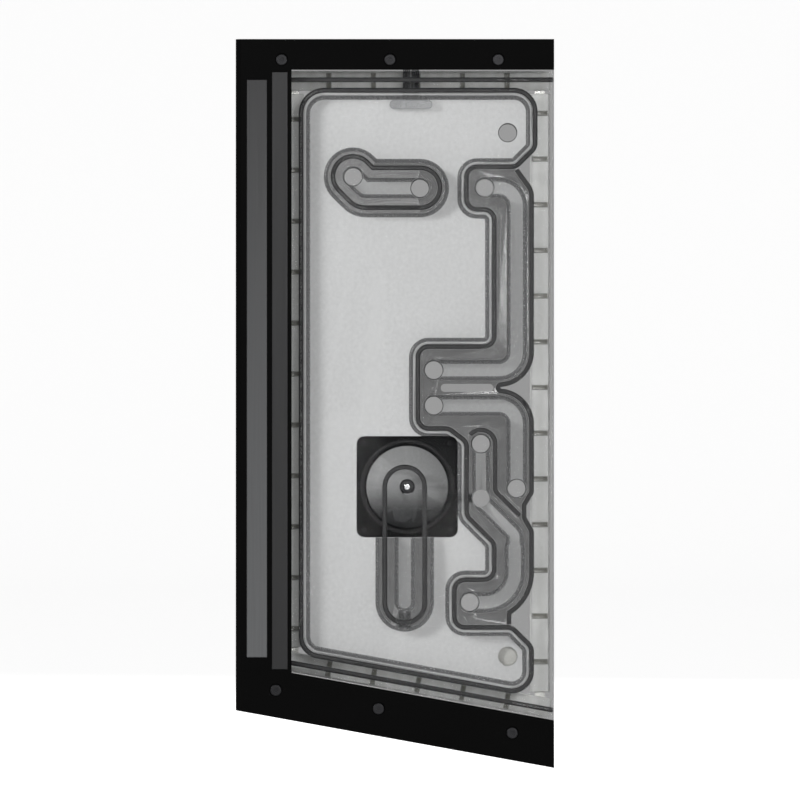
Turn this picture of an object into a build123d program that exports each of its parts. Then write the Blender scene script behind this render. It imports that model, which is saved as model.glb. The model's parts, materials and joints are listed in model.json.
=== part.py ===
# Water cooling distribution plate: a clear acrylic manifold with a built-in reservoir and pump,
# held at the front of a computer case by a black metal frame.
#
# X runs to the right and Z up as the plate is seen from its front, and the front faces -Y.
# The origin is the mouth of the middle top standoff, on the mounting face of the case.
# Heights are counted towards the viewer from that mounting face, so a height of h lies at Y = -h.

import os
from math import atan2, ceil, cos, degrees, radians, sin, sqrt, tan

from build123d import *

os.makedirs("parts", exist_ok=True)

# Outline of the plate
plate_width = 194.0
plate_left_height = 409.0
bottom_slope = 10.25
top_edge_z = 12.5
left_edge_x = -94.0
right_edge_x = left_edge_x + plate_width
foot_z = top_edge_z - plate_left_height

# Stack, from the case towards the viewer
standoff_length = 16.0
body_thickness = 25.0
cover_thickness = 8.0
frame_thickness = 4.0
body_back = standoff_length
body_front = body_back + body_thickness
cover_front = body_front + cover_thickness
frame_front = cover_front + frame_thickness

# Front frame
top_bar_height = 18.6
bottom_bar_height = 28.5
column_width = 34.0
frame_wall = 3.0
frame_wall_depth = 28.0
frame_left_chamfer = 3.2
frame_edge_chamfer = 0.5
frame_gap = 0.25
cover_edge_chamfer = 1.0

# Inlaid strips in the frame's column
strip_recess = 1.2
strip_thickness = 1.5
strip_gap = 0.15
strip_chamfer = 0.3
outer_strip_width = 12.5
outer_strip_inset = 6.7
outer_strip_top_z = -12.2
outer_strip_foot_z = foot_z + 32.3
inner_strip_width = 9.8
inner_strip_inset = 22.0
inner_strip_top_z = -7.5
inner_strip_foot_z = foot_z + 25.0

# Channels, pocket and web
pocket_depth = 12.0
channel_width = 12.5
outlet_width = 10.8
seal_to_pocket = 3.0
floor_fillet = 2.5
web_thickness = 4.0
pocket_floor = body_front - pocket_depth
volute_depth = pocket_floor - web_thickness - body_back

# Seals: soft round cord squeezed flat in its groove
cord_width = 2.9
groove_width = 3.2
groove_depth = 2.4
seal_land = 3.2
groove_floor = body_front - groove_depth

# Screws and standoffs
screw_radius = 2.0
screw_hole_radius = 2.15
screw_head_radius = 3.6
screw_head_height = 2.2
screw_head_recess = 1.8
screw_head_gap = 0.3
screw_socket_width = 2.5
screw_socket_depth = 1.3
standoff_across_flats = 8.0
standoff_thread_radius = 1.65
standoff_thread_depth = 6.0
standoff_screw_depth = 8.5
standoff_screw_gap = 0.05
top_fixing_z = 0.0
top_fixing_x = (left_edge_x + 28.0, 0.0, right_edge_x - 34.0)
bottom_fixing_x = (left_edge_x + 24.5, -7.0, right_edge_x - 25.5)
bottom_fixing_inset = 16.5

# Threaded ports for G1/4 fittings, drilled from the back into the channels
port_radius = 5.9
port_end_gap = 0.5
plug_thread_gap = 0.05
plug_thread_length = 9.0
plug_chamfer = 0.5
plug_ring_radius = 7.2
plug_ring_width = 1.8
plug_cord_width = 1.6
plug_ring_depth = 1.2
plug_socket_width = 6.0
plug_socket_depth = 5.0
drain_head_radius = 10.0
drain_head_height = 3.2

# Edge lighting, let into the back of the body
board_width = 12.0
board_thickness = 1.2
board_gap = 0.2
led_length = 9.6
led_width = 3.2
led_height = 0.8
board_link_width = 6.0
board_link_thickness = 0.3
board_link_length = 9.0
header_x = left_edge_x + 48.0
header_width = 10.2
header_thickness = 2.6
pin_count = 3
pin_pitch = 2.54
pin_width = 0.7
pin_reach = 6.0
led_groove_width = 10.4
led_groove_depth = 1.0
top_band_z = -11.9
bottom_band_inset = 34.2
left_band_x = left_edge_x + 35.0
right_band_x = right_edge_x - 8.2
top_led_start_x = left_edge_x + 56.5
top_led_pitch = 27.3
left_led_start_z = -35.4
left_led_pitch = 31.2
right_led_start_z = -31.7
right_led_pitch = 28.0

# Pump
pump_x = right_edge_x - 89.5
pump_z = foot_z + 136.0
pump_square = 62.0
pump_corner_radius = 5.0
pump_flange_thickness = 8.0
pump_can_radius = 27.0
pump_can_length = 26.0
pump_can_fillet = 4.0
pump_rib_count = 12
pump_rib_height = 1.2
pump_rib_width = 3.0
pump_rib_length = 20.0
volute_radius = 25.0
outlet_radius = 2.8
outlet_well_radius = 5.2
outlet_well_floor = 2.2
outlet_drop = 7.0
eye_radius = 4.7
pump_seal_radius = 27.6
pump_seal_depth = 1.9
pump_cord_width = 2.3
pump_groove_width = 2.6
pump_screw_spacing = 53.0
pump_screw_radius = 1.6
pump_screw_head_radius = 3.1
pump_screw_head_height = 2.2
pump_screw_reach = 7.0
pump_screw_gap = 0.05
socket_width = 12.0
socket_height = 7.0
socket_length = 9.0
socket_seat_depth = 5.0
socket_wall = 1.0
socket_gap = 0.05

# Rotor, pin and impeller
rotor_well_radius = 10.6
rotor_well_depth = 12.5
magnet_radius = 10.0
magnet_length = 11.0
rotor_floor_gap = 0.7
rotor_stem_radius = 4.0
stem_gap = 0.03
pin_radius = 1.5
pin_running_gap = 0.05
pin_seat_depth = 5.0
impeller_radius = 22.0
impeller_disc_gap = 0.9
impeller_disc_thickness = 1.6
impeller_vane_height = 3.6
impeller_vane_width = 1.5
impeller_vane_count = 7
impeller_vane_sweep = 30.0
impeller_vane_curve = 18.0
impeller_eye_radius = 6.5
impeller_hub_radius = 4.0
impeller_hub_height = 1.8
pin_cap_radius = 2.4
pin_cap_height = 2.4
pin_cap_gap = 0.3
pin_cap_fillet = 1.2

# Bends of the channels and seals
bend_radius = 11.0
small_bend = 4.0
bridge_bend = 2.0
reservoir_bend = 6.5
lower_bend_radius = 18.3

# Channels: places of their ports and bends on their middle lines
bridge_start = (left_edge_x + 71.4, -70.8)
bridge_corner = (bridge_start[0] + 7.0, bridge_start[1] - 7.0)
bridge_end = (right_edge_x - 81.7, bridge_corner[1])
right_channel_x = right_edge_x - 22.5
upper_start = (right_edge_x - 42.0, -77.5)
upper_end = (right_edge_x - 73.2, foot_z + 207.4)
return_start = (upper_end[0], foot_z + 185.7)
return_end = (right_channel_x, foot_z + 135.0)
outlet_top = (right_edge_x - 44.4, foot_z + 162.3)
outlet_jog_z = foot_z + 127.5
lower_channel_x = right_edge_x - 23.7
lower_end = (right_edge_x - 51.2, foot_z + 65.3)
suction_x = right_edge_x - 91.0
suction_end_z = lower_end[1]
suction_top = (suction_x, pump_z)
suction_end = (suction_x, suction_end_z)

# Ports of the reservoir, one in each bulge at its right side
reservoir_return = (right_edge_x - 28.0, -43.9)
reservoir_drain = (right_edge_x - 28.0, foot_z + 32.3)

# Ports in the ends of the channels
channel_ports = [
    bridge_start,
    bridge_end,
    upper_start,
    upper_end,
    return_start,
    return_end,
    outlet_top,
    lower_end,
]

# Distances from a channel's middle line to its seal and to the edge of its island
bridge_seal_offset = 12.2
bridge_island_offset = bridge_seal_offset + seal_land
suction_seal_offset = 12.2
suction_island_offset = suction_seal_offset + seal_land

# Fill port, from the top edge of the plate down into the reservoir, and the baffle below it
fill_x = right_edge_x - 87.2
fill_height = body_front - 9.5
fill_throat_radius = 5.0
fill_thread_length = 12.0
fill_head_radius = 8.6
fill_head_gap = 0.4
baffle_width = 26.2
baffle_height = 5.6
baffle_rise = 8.0
baffle_drop = floor_fillet + 0.1

# Intake between the reservoir's foot and the suction channel, under the seal
intake_radius = 4.0
intake_height = body_front - 7.5

# Outer channel seal: notch between the two middle channels, and waist above the jog
outer_seal_x = right_edge_x - 13.6
outer_seal_start = (right_edge_x - 22.8, -66.9)
outer_seal_shoulder_z = -79.5
notch_radius = 2.0
waist_x = right_edge_x - 18.2
waist_top_z = foot_z + 125.0
waist_foot_z = foot_z + 117.0
waist_slope_length = 7.8
foot_angle = 59.0
joint_gap = 0.1

# Divider seal between the pump outlet and the channel beside it
divider_start_angle = 140.0
divider_bend_z = foot_z + 133.5
divider_end = (right_edge_x - 20.8, foot_z + 118.5)

# Reservoir seal
reservoir_seal_left_x = left_edge_x + 39.7
reservoir_seal_top_z = -18.3
reservoir_seal_bottom_inset = 41.1
upper_bulge_x = right_edge_x - 11.4
upper_step_x = right_edge_x - 53.3
upper_step_z = -65.0
beside_upper_z = -91.0
beside_right_x = right_edge_x - 36.3
middle_step_x = right_edge_x - 82.9
middle_step_top_z = foot_z + 221.7
middle_step_foot_z = foot_z + 171.7
beside_outlet_x = right_edge_x - 53.2
lower_step_x = right_edge_x - 60.7
lower_step_z = foot_z + 79.3
lower_seal_z = foot_z + 50.3


def level(height):
    """Sketch plane parallel to the front, at this height above the case's mounting face."""
    return Plane.XZ.offset(height)


def bottom_z(x, inset=0.0):
    """Z of a line parallel to the slanted bottom edge, this far inside it, square to it."""
    slope = radians(bottom_slope)
    return foot_z - (x - left_edge_x) * tan(slope) + inset / cos(slope)


def slanted_outline(left, right, top, inset):
    """Corners of a plate whose bottom side is parallel to the slanted bottom edge."""
    return [(left, top), (right, top), (right, bottom_z(right, inset)), (left, bottom_z(left, inset))]


def fixing_points():
    """Centres of the six frame screws."""
    upper = [(x, top_fixing_z) for x in top_fixing_x]
    lower = [(x, bottom_z(x, bottom_fixing_inset)) for x in bottom_fixing_x]
    return upper + lower


# Corners of the reservoir seal's middle line with the radius of each, clockwise from the top left
reservoir_corners = [
    (reservoir_seal_left_x, reservoir_seal_top_z, 14.0),
    (upper_bulge_x, reservoir_seal_top_z, 13.0),
    (upper_bulge_x, upper_step_z + 11.7, reservoir_bend),
    (upper_bulge_x - 11.7, upper_step_z, reservoir_bend),
    (upper_step_x, upper_step_z, reservoir_bend),
    (upper_step_x, beside_upper_z, reservoir_bend),
    (beside_right_x, beside_upper_z, reservoir_bend),
    (beside_right_x, middle_step_top_z, reservoir_bend),
    (middle_step_x, middle_step_top_z, reservoir_bend),
    (middle_step_x, middle_step_foot_z, reservoir_bend),
    (beside_outlet_x - 10.8, middle_step_foot_z, reservoir_bend),
    (beside_outlet_x, middle_step_foot_z - 8.2, reservoir_bend),
    (beside_outlet_x, lower_step_z + 39.2, reservoir_bend),
    (beside_right_x, lower_step_z + 22.2, reservoir_bend),
    (beside_right_x, lower_step_z, reservoir_bend),
    (lower_step_x, lower_step_z, reservoir_bend),
    (lower_step_x, lower_seal_z, reservoir_bend),
    (outer_seal_x - 12.0, lower_seal_z, reservoir_bend),
    (outer_seal_x, lower_seal_z - 12.0, reservoir_bend),
    (outer_seal_x, bottom_z(outer_seal_x, reservoir_seal_bottom_inset), 12.0),
    (reservoir_seal_left_x, bottom_z(reservoir_seal_left_x, reservoir_seal_bottom_inset), 12.0),
]

# Extents of the clear parts inside the frame's walls
clear_left_x = left_edge_x + frame_wall + frame_gap
clear_top_z = top_edge_z - frame_wall - frame_gap
clear_bottom_inset = frame_wall + frame_gap
clear_points = slanted_outline(clear_left_x, right_edge_x, clear_top_z, clear_bottom_inset)

# Extents of the light boards and edge seals
band_left_x = left_edge_x + column_width - 2.0
board_right_x = right_edge_x - 2.0
side_board_top_z = top_band_z - board_width / 2 - 2.0
side_board_foot_gap = board_width / 2 + 3.0


def reservoir_outline(height, growth):
    """Area inside the reservoir seal's middle line, grown outwards by a distance."""
    with BuildSketch(level(height)) as outline:
        with BuildLine():
            points = [(x, z) for x, z, _ in reservoir_corners]
            bends = [bend for _, _, bend in reservoir_corners]
            FilletPolyline(*points, radius=bends, close=True)
        make_face()
        offset(amount=growth)
    return outline.sketch


def bent_line(points, radius):
    """Line through these points, rounded at its bends."""
    with BuildLine() as path:
        FilletPolyline(*points, radius=radius)
    return path.wire()


def round_band(height, line, half_width):
    """Area along an open line, with round ends."""
    with BuildSketch(level(height)) as area:
        make_face(line.offset_2d(half_width).edges())
    return area.sketch


# Middle lines of the channels
bridge_line = bent_line((bridge_start, bridge_corner, bridge_end), bridge_bend)
with BuildLine() as suction_path:
    Line(suction_top, suction_end)
suction_line = suction_path.wire()
upper_bends = ((right_channel_x, upper_start[1]), (right_channel_x, upper_end[1]))
upper_line = bent_line((upper_start, *upper_bends, upper_end), bend_radius)
return_line = bent_line((return_start, (right_channel_x, return_start[1]), return_end), bend_radius)

# The pump outlet channel is narrow beside the pump and wider after its jog
jog_foot_z = outlet_jog_z - (lower_channel_x - outlet_top[0])
widening = (lower_channel_x, jog_foot_z - 2 * small_bend)
outlet_bends = ((outlet_top[0], outlet_jog_z), (lower_channel_x, jog_foot_z))
outlet_line = bent_line((outlet_top, *outlet_bends, widening), small_bend)
lower_line = bent_line((widening, (lower_channel_x, lower_end[1]), lower_end), lower_bend_radius)


def outer_seal_line():
    """Middle line of the outer channel seal, from its top joint to its bottom joint."""
    upper_centre = (right_channel_x - bend_radius, upper_end[1] + bend_radius)
    lower_centre = (right_channel_x - bend_radius, return_start[1] - bend_radius)
    wrap_radius = outer_seal_x - upper_centre[0]
    notch_z = (upper_centre[1] + lower_centre[1]) / 2
    drop = upper_centre[1] - notch_z
    reach = sqrt((wrap_radius + notch_radius) ** 2 - drop**2)
    wrap_angle = degrees(atan2(drop, reach))
    notch_centre = (upper_centre[0] + reach, notch_z)
    foot_centre = (lower_channel_x - lower_bend_radius, lower_end[1] + lower_bend_radius)
    foot_radius = outer_seal_x - foot_centre[0]
    foot_x = foot_centre[0] + foot_radius * cos(radians(foot_angle))
    foot_start_z = foot_centre[1] - foot_radius * sin(radians(foot_angle))
    with BuildLine() as path:
        shoulder = (outer_seal_x, outer_seal_shoulder_z)
        FilletPolyline(outer_seal_start, shoulder, (outer_seal_x, upper_centre[1]), radius=bend_radius)
        CenterArc(upper_centre, wrap_radius, 0, -wrap_angle)
        CenterArc(notch_centre, notch_radius, 180 - wrap_angle, 2 * wrap_angle)
        CenterArc(lower_centre, wrap_radius, wrap_angle, -wrap_angle)
        FilletPolyline(
            (outer_seal_x, lower_centre[1]),
            (outer_seal_x, waist_top_z + waist_slope_length),
            (waist_x, waist_top_z),
            (waist_x, waist_foot_z),
            (outer_seal_x, waist_foot_z - waist_slope_length),
            (outer_seal_x, foot_centre[1]),
            radius=small_bend,
        )
        CenterArc(foot_centre, foot_radius, 0, -foot_angle)
        Line((foot_x, foot_start_z), (foot_x, lower_seal_z + groove_width / 2 + joint_gap))
    return path.line


def divider_seal_line():
    """Middle line of the seal between the pump outlet and the channel beside it."""
    crown_radius = outlet_width / 2 + seal_land
    side_x = outlet_top[0] + crown_radius
    with BuildLine() as path:
        CenterArc(outlet_top, crown_radius, divider_start_angle, -divider_start_angle)
        FilletPolyline((side_x, outlet_top[1]), (side_x, divider_bend_z), divider_end, radius=small_bend)
    return path.line


def band(height, line, width):
    """Area of a given width along an open line, with square ends."""
    with BuildSketch(level(height)) as area:
        trace(line, line_width=width)
    return area.sketch


def level_band(height, z, width, left, right):
    """Area of a given width along a level line."""
    with BuildSketch(level(height)) as area:
        with Locations(((left + right) / 2, z)):
            Rectangle(right - left, width)
    return area.sketch


def upright_band(height, x, width, low, high):
    """Area of a given width along an upright line."""
    with BuildSketch(level(height)) as area:
        with Locations((x, (low + high) / 2)):
            Rectangle(width, high - low)
    return area.sketch


def slanted_band(height, inset, width, left, right):
    """Area of a given width along a line parallel to the slanted bottom edge."""
    middle_x = (left + right) / 2
    with BuildSketch(level(height)) as area:
        with Locations((middle_x, bottom_z(middle_x, inset))):
            Rectangle((right - left) / cos(radians(bottom_slope)), width, rotation=-bottom_slope)
    return area.sketch


def board_areas(width, growth):
    """Areas of the four light boards, with their ends grown by a distance."""
    height = body_back
    left_foot = bottom_z(left_band_x, bottom_band_inset + side_board_foot_gap)
    right_foot = bottom_z(right_band_x, bottom_band_inset + side_board_foot_gap)
    left = band_left_x - growth
    right = board_right_x + growth
    return {
        "top": level_band(height, top_band_z, width, left, right),
        "left": upright_band(height, left_band_x, width, left_foot - growth, side_board_top_z + growth),
        "right": upright_band(height, right_band_x, width, right_foot - growth, side_board_top_z + growth),
        "bottom": slanted_band(height, bottom_band_inset, width, left, right),
    }


def lamp_row(start, stop, pitch):
    """Places of the lamps along a board, from the first to just before its end."""
    count = ceil(abs(stop - start) / pitch)
    step = pitch if stop > start else -pitch
    return [start + number * step for number in range(count)]


def lamp_places(name):
    """Centre of each lamp on one light board."""
    if name == "top":
        return [(x, top_band_z) for x in lamp_row(top_led_start_x, board_right_x, top_led_pitch)]
    if name == "bottom":
        row = lamp_row(top_led_start_x, board_right_x, top_led_pitch)
        return [(x, bottom_z(x, bottom_band_inset)) for x in row]
    side_x, start, pitch = {
        "left": (left_band_x, left_led_start_z, left_led_pitch),
        "right": (right_band_x, right_led_start_z, right_led_pitch),
    }[name]
    stop = bottom_z(side_x, bottom_band_inset + side_board_foot_gap + led_width)
    return [(side_x, z) for z in lamp_row(start, stop, pitch)]


lamp_turns = {"top": 0, "left": 90, "right": 90, "bottom": -bottom_slope}


def strip_area(height, inset, width, top_z, strip_foot_z, growth):
    """Area of an inlaid strip in the frame's column, grown by a distance."""
    with BuildSketch(level(height)) as area:
        with Locations((left_edge_x + inset + width / 2, (top_z + strip_foot_z) / 2)):
            Rectangle(width + 2 * growth, top_z - strip_foot_z + 2 * growth)
    return area.sketch


def pump_plane(height):
    """Plane parallel to the front, centred on the pump."""
    return Plane(origin=(pump_x, -height, pump_z), x_dir=(1, 0, 0), z_dir=(0, -1, 0))


def corner_places(spacing):
    """Corners of a square of screws round the pump."""
    return [(x * spacing / 2, z * spacing / 2) for x in (-1, 1) for z in (-1, 1)]


pump_corners = corner_places(pump_screw_spacing)
outlet_z = pump_z - outlet_drop
outlet_height = body_back + outlet_well_floor + outlet_radius + 0.3
socket_plane = Plane(
    origin=(pump_x, -(body_back - pump_flange_thickness - pump_can_length / 2), pump_z - pump_can_radius),
    x_dir=(1, 0, 0),
    z_dir=(0, 0, -1),
)

# Channel body: one milled block with the reservoir, the channels and the pump's volute
with BuildPart() as channel_body:
    with BuildSketch(level(body_back)):
        with BuildLine():
            Polyline(clear_points, close=True)
        make_face()
    extrude(amount=body_thickness)

    with BuildSketch(level(pocket_floor)):
        add(reservoir_outline(pocket_floor, -seal_to_pocket))
        add(round_band(pocket_floor, bridge_line, bridge_island_offset), mode=Mode.SUBTRACT)
        add(round_band(pocket_floor, suction_line, suction_island_offset), mode=Mode.SUBTRACT)
    extrude(amount=pocket_depth, mode=Mode.SUBTRACT)

    for line, width in (
        (bridge_line, channel_width),
        (suction_line, channel_width),
        (upper_line, channel_width),
        (return_line, channel_width),
        (outlet_line, outlet_width),
        (lower_line, channel_width),
    ):
        channel = round_band(pocket_floor, line, width / 2)
        extrude(channel, amount=pocket_depth, mode=Mode.SUBTRACT)

    # Rounded foot of every wall, as the ball-nosed cutter leaves it
    floor_y = -pocket_floor
    floor_edges = channel_body.edges().filter_by_position(Axis.Y, floor_y - 0.01, floor_y + 0.01)
    fillet(floor_edges, floor_fillet)

    # Flat-bottomed round places over the ports, the pump's eye and its outlet well
    with BuildSketch(level(pocket_floor)):
        with Locations(*channel_ports, suction_top):
            Circle(port_radius + port_end_gap)
        with Locations((outlet_top[0], outlet_z)):
            Circle(outlet_well_radius + port_end_gap)
    extrude(amount=pocket_depth, mode=Mode.SUBTRACT)

    # Grooves for the seals
    with BuildSketch(level(groove_floor)):
        add(reservoir_outline(groove_floor, groove_width / 2))
        add(reservoir_outline(groove_floor, -groove_width / 2), mode=Mode.SUBTRACT)
    extrude(amount=groove_depth, mode=Mode.SUBTRACT)
    for line, seal_offset in ((bridge_line, bridge_seal_offset), (suction_line, suction_seal_offset)):
        with BuildSketch(level(groove_floor)):
            add(round_band(groove_floor, line, seal_offset + groove_width / 2))
            add(round_band(groove_floor, line, seal_offset - groove_width / 2), mode=Mode.SUBTRACT)
        extrude(amount=groove_depth, mode=Mode.SUBTRACT)
    for groove in (
        band(groove_floor, outer_seal_line(), groove_width),
        band(groove_floor, divider_seal_line(), groove_width),
        level_band(groove_floor, top_band_z, groove_width, band_left_x, right_edge_x),
        slanted_band(groove_floor, bottom_band_inset, groove_width, band_left_x, right_edge_x + groove_width),
    ):
        extrude(groove, amount=groove_depth, mode=Mode.SUBTRACT)

    # Rebates for the light boards, each with a deeper groove for its lamps
    for area in board_areas(board_width + 2 * board_gap, board_gap).values():
        extrude(area, amount=board_thickness, mode=Mode.SUBTRACT)
    for area in board_areas(led_groove_width, -board_gap).values():
        extrude(area, amount=board_thickness + led_groove_depth, mode=Mode.SUBTRACT)

    # Volute, pump eye, outlet well and the duct between the volute and the well
    with BuildSketch(pump_plane(body_back)):
        Circle(volute_radius)
    extrude(amount=volute_depth, mode=Mode.SUBTRACT)
    with BuildSketch(pump_plane(body_back)):
        Circle(eye_radius)
    extrude(amount=body_thickness - pocket_depth, mode=Mode.SUBTRACT)
    with BuildSketch(level(body_back + outlet_well_floor)):
        with Locations((outlet_top[0], outlet_z)):
            Circle(outlet_well_radius)
    extrude(amount=pocket_floor - body_back - outlet_well_floor, mode=Mode.SUBTRACT)
    with BuildSketch(Plane(origin=(pump_x, -outlet_height, outlet_z), x_dir=(0, 0, 1), z_dir=(1, 0, 0))):
        Circle(outlet_radius)
    extrude(amount=outlet_top[0] - pump_x, mode=Mode.SUBTRACT)

    # Seat for the pump's seal, and holes for its four screws
    with BuildSketch(pump_plane(body_back)):
        Circle(pump_seal_radius + pump_groove_width / 2)
        Circle(pump_seal_radius - pump_groove_width / 2, mode=Mode.SUBTRACT)
    extrude(amount=pump_seal_depth, mode=Mode.SUBTRACT)
    with BuildSketch(pump_plane(body_back)):
        with Locations(*pump_corners):
            Circle(pump_screw_radius + pump_screw_gap)
    extrude(amount=pump_screw_reach + pump_screw_gap, mode=Mode.SUBTRACT)

    # Intake from the reservoir's foot into the suction channel
    with BuildSketch(Plane(origin=(suction_x, -intake_height, suction_end_z), z_dir=(0, 0, -1))):
        Circle(intake_radius)
    extrude(amount=suction_island_offset + intake_radius, mode=Mode.SUBTRACT)

    # Ports from the back, and the fill port from the top
    with BuildSketch(level(body_back)):
        with Locations(*channel_ports, reservoir_return, reservoir_drain):
            Circle(port_radius)
    extrude(amount=body_thickness - pocket_depth, mode=Mode.SUBTRACT)
    with BuildSketch(Plane(origin=(fill_x, -fill_height, clear_top_z), z_dir=(0, 0, -1))):
        Circle(port_radius)
    extrude(amount=fill_thread_length, mode=Mode.SUBTRACT)
    with BuildSketch(Plane(origin=(fill_x, -fill_height, clear_top_z), z_dir=(0, 0, -1))):
        Circle(fill_throat_radius)
    extrude(amount=clear_top_z - reservoir_seal_top_z + seal_to_pocket + baffle_drop, mode=Mode.SUBTRACT)

    # Holes for the frame's screws
    with BuildSketch(level(body_back)):
        with Locations(*fixing_points()):
            Circle(screw_hole_radius)
    extrude(amount=body_thickness, mode=Mode.SUBTRACT)
channel_body.part.label = "channel_body"
export_step(channel_body.part, "parts/channel_body.step")

# Clear front cover over the whole body
with BuildPart() as front_cover:
    with BuildSketch(level(body_front)):
        with BuildLine():
            Polyline(clear_points, close=True)
        make_face()
        with Locations(*fixing_points()):
            Circle(screw_hole_radius, mode=Mode.SUBTRACT)
    extrude(amount=cover_thickness)
    front_edges = front_cover.faces().sort_by(Axis.Y)[0].outer_wire().edges()
    chamfer(front_edges.sort_by(Axis.X)[-1], cover_edge_chamfer)
front_cover.part.label = "front_cover"
export_step(front_cover.part, "parts/front_cover.step")

# Black front frame: a bar above, a slanted bar below and a column at the left,
# with walls folded back round the edges of the clear block
past_right_x = right_edge_x + plate_width
with BuildPart() as front_frame:
    with BuildSketch(level(cover_front)):
        with BuildLine():
            Polyline(slanted_outline(left_edge_x, right_edge_x, top_edge_z, 0), close=True)
        make_face()
        with BuildLine():
            window_left_x = left_edge_x + column_width
            window_top_z = top_edge_z - top_bar_height
            window = slanted_outline(window_left_x, past_right_x, window_top_z, bottom_bar_height)
            Polyline(window, close=True)
        make_face(mode=Mode.SUBTRACT)
    extrude(amount=frame_thickness)
    front_edges = front_frame.faces().sort_by(Axis.Y)[0].edges()
    chamfer(front_edges.sort_by(Axis.X)[0], frame_left_chamfer)
    front_edges = front_frame.faces().sort_by(Axis.Y)[0].edges()
    chamfer(front_edges.sort_by(Axis.X)[1:], frame_edge_chamfer)

    with BuildSketch(level(cover_front - frame_wall_depth)):
        with BuildLine():
            Polyline(slanted_outline(left_edge_x, right_edge_x, top_edge_z, 0), close=True)
        make_face()
        with BuildLine():
            inside_left_x = left_edge_x + frame_wall
            inside_top_z = top_edge_z - frame_wall
            Polyline(slanted_outline(inside_left_x, past_right_x, inside_top_z, frame_wall), close=True)
        make_face(mode=Mode.SUBTRACT)
    extrude(amount=frame_wall_depth)

    recess_floor = frame_front - strip_recess
    for inset, width, top_z, strip_foot_z in (
        (outer_strip_inset, outer_strip_width, outer_strip_top_z, outer_strip_foot_z),
        (inner_strip_inset, inner_strip_width, inner_strip_top_z, inner_strip_foot_z),
    ):
        recess = strip_area(recess_floor, inset, width, top_z, strip_foot_z, strip_gap)
        extrude(recess, amount=strip_recess, mode=Mode.SUBTRACT)

    with BuildSketch(level(cover_front)):
        with Locations(*fixing_points()):
            Circle(screw_hole_radius)
    extrude(amount=frame_thickness, mode=Mode.SUBTRACT)
    with BuildSketch(level(frame_front - screw_head_recess)):
        with Locations(*fixing_points()):
            Circle(screw_head_radius + screw_head_gap)
    extrude(amount=screw_head_recess, mode=Mode.SUBTRACT)
    with BuildSketch(Plane(origin=(fill_x, -fill_height, top_edge_z), z_dir=(0, 0, -1))):
        Circle(fill_head_radius + fill_head_gap)
    extrude(amount=frame_wall, mode=Mode.SUBTRACT)
front_frame.part.label = "front_frame"
export_step(front_frame.part, "parts/front_frame.step")

# Two metal strips inlaid in the column
for name, inset, width, top_z, strip_foot_z in (
    ("outer_strip", outer_strip_inset, outer_strip_width, outer_strip_top_z, outer_strip_foot_z),
    ("inner_strip", inner_strip_inset, inner_strip_width, inner_strip_top_z, inner_strip_foot_z),
):
    with BuildPart() as strip:
        extrude(strip_area(recess_floor, inset, width, top_z, strip_foot_z, 0), amount=strip_thickness)
        chamfer(strip.faces().sort_by(Axis.Y)[0].edges(), strip_chamfer)
    strip.part.label = name
    export_step(strip.part, f"parts/{name}.step")

# Closed seals between the body and the cover
with BuildPart() as reservoir_seal:
    with BuildSketch(level(groove_floor)):
        add(reservoir_outline(groove_floor, cord_width / 2))
        add(reservoir_outline(groove_floor, -cord_width / 2), mode=Mode.SUBTRACT)
    extrude(amount=groove_depth)
reservoir_seal.part.label = "reservoir_seal"
export_step(reservoir_seal.part, "parts/reservoir_seal.step")

for name, line, seal_offset in (
    ("bridge_seal", bridge_line, bridge_seal_offset),
    ("suction_seal", suction_line, suction_seal_offset),
):
    with BuildPart() as seal:
        with BuildSketch(level(groove_floor)):
            add(round_band(groove_floor, line, seal_offset + cord_width / 2))
            add(round_band(groove_floor, line, seal_offset - cord_width / 2), mode=Mode.SUBTRACT)
        extrude(amount=groove_depth)
    seal.part.label = name
    export_step(seal.part, f"parts/{name}.step")

# Open seals between the body and the cover
lower_seal_right_x = right_edge_x - cord_width * sin(radians(bottom_slope)) / 2
for name, area in (
    ("outer_channel_seal", band(groove_floor, outer_seal_line(), cord_width)),
    ("divider_seal", band(groove_floor, divider_seal_line(), cord_width)),
    ("upper_edge_seal", level_band(groove_floor, top_band_z, cord_width, band_left_x, right_edge_x)),
    (
        "lower_edge_seal",
        slanted_band(groove_floor, bottom_band_inset, cord_width, band_left_x, lower_seal_right_x),
    ),
):
    with BuildPart() as seal:
        extrude(area, amount=groove_depth)
    seal.part.label = name
    export_step(seal.part, f"parts/{name}.step")

# Light boards in the back of the body, and the lamps on each
for name, area in board_areas(board_width, 0).items():
    with BuildPart() as board:
        extrude(area, amount=board_thickness)
    board.part.label = f"{name}_light_board"
    export_step(board.part, f"parts/{name}_light_board.step")

    with BuildPart() as lamps:
        with BuildSketch(level(body_back + board_thickness)):
            with Locations(*lamp_places(name)):
                Rectangle(led_width, led_length, rotation=lamp_turns[name])
        extrude(amount=led_height)
    lamps.part.label = f"{name}_lamps"
    export_step(lamps.part, f"parts/{name}_lamps.step")

# Flat links that carry the current from board to board, across the four corners
link_z = {
    "upper": top_band_z - board_width / 2,
    "lower left": bottom_z(left_band_x, bottom_band_inset + side_board_foot_gap),
    "lower right": bottom_z(right_band_x, bottom_band_inset + side_board_foot_gap),
}
with BuildPart() as board_links:
    with BuildSketch(level(body_back - board_link_thickness)):
        with Locations(
            (left_band_x, link_z["upper"]),
            (right_band_x, link_z["upper"]),
            (left_band_x, link_z["lower left"]),
            (right_band_x, link_z["lower right"]),
        ):
            Rectangle(board_link_width, board_link_length)
    extrude(amount=board_link_thickness)
board_links.part.label = "board_links"
export_step(board_links.part, "parts/board_links.step")

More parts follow.
